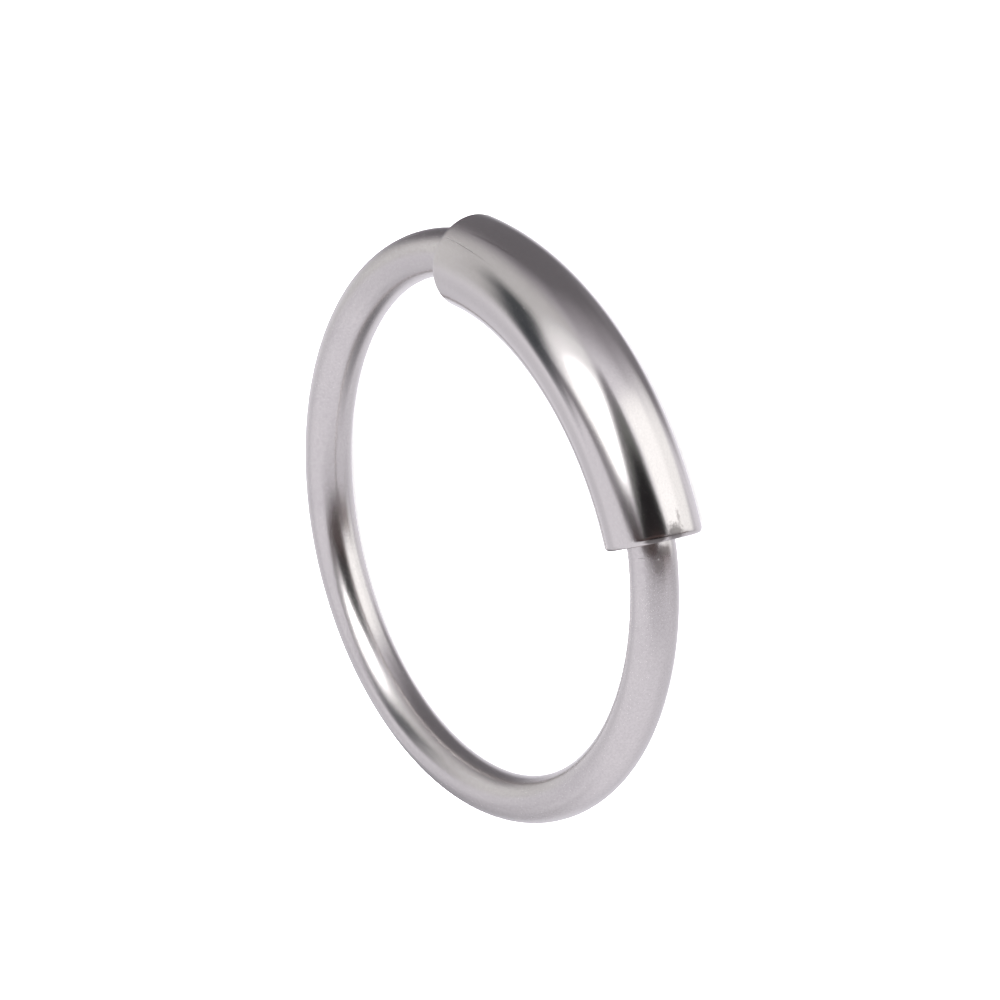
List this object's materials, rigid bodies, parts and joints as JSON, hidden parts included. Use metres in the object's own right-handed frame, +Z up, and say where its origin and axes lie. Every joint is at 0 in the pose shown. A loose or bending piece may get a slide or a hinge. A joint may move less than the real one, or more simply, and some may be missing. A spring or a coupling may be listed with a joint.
{
  "type": "lip ring",
  "caption": "Smooth round-wire lip ring: an open hoop whose ends meet inside a thicker, gently curved plain tube that covers the gap.",
  "frame": {"origin": "middle of the base, on the surface that the ring lies on", "axes": "+Z up, out of the ring's flat side, with the ring lying as it rests by itself; -Y towards the middle of the tube; the hoop's plane is tilted about X by under 3 degrees, because the tube is thicker than the wire"},
  "size_m": [0.015, 0.0154, 0.0025],
  "materials": {
    "wire_steel": "tumbled and polished 316L stainless steel wire, a soft satin shine",
    "tube_steel": "polished 316L stainless steel tube, brighter than the wire"
  },
  "bodies": {
    "root": {"hoop_wire": "wire_steel", "closure_tube": "tube_steel"}
  },
  "joints": []
}
